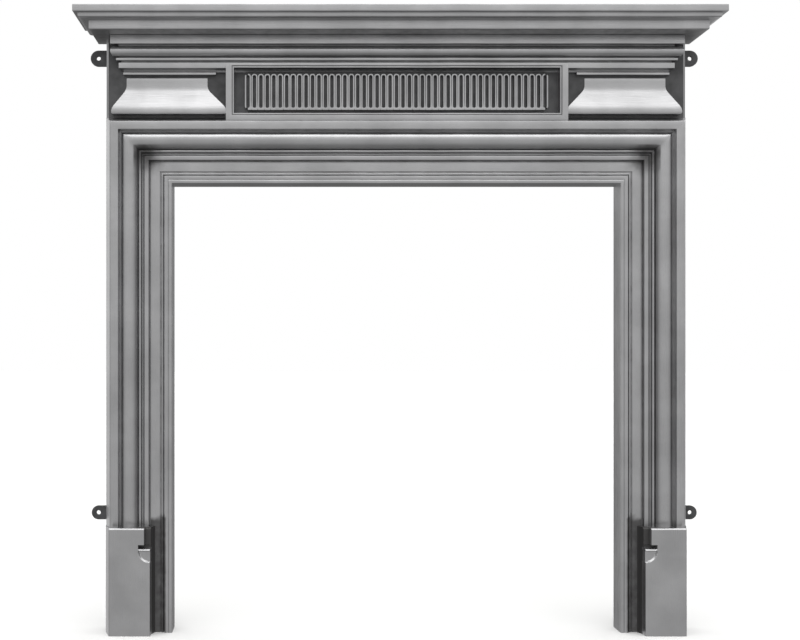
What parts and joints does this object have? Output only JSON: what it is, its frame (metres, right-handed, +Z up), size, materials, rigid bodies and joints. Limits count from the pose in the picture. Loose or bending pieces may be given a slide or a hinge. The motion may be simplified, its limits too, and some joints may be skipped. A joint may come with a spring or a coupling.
{
  "type": "cast iron fireplace surround",
  "caption": "Cast iron fireplace surround with a moulded shelf, flared end blocks, a fluted frieze panel and a square opening.",
  "frame": {"origin": "centre of the footprint, on the floor between the two feet", "axes": "+X along the shelf to the right as seen from the front, +Y from the front towards the wall, +Z up"},
  "size_m": [1.3594, 0.1446, 1.325],
  "materials": {
    "polished_iron": "polished, with dark residue in the hollows"
  },
  "bodies": {
    "root": {"front_casting": "polished_iron", "mantel_shelf": "polished_iron"}
  },
  "joints": []
}
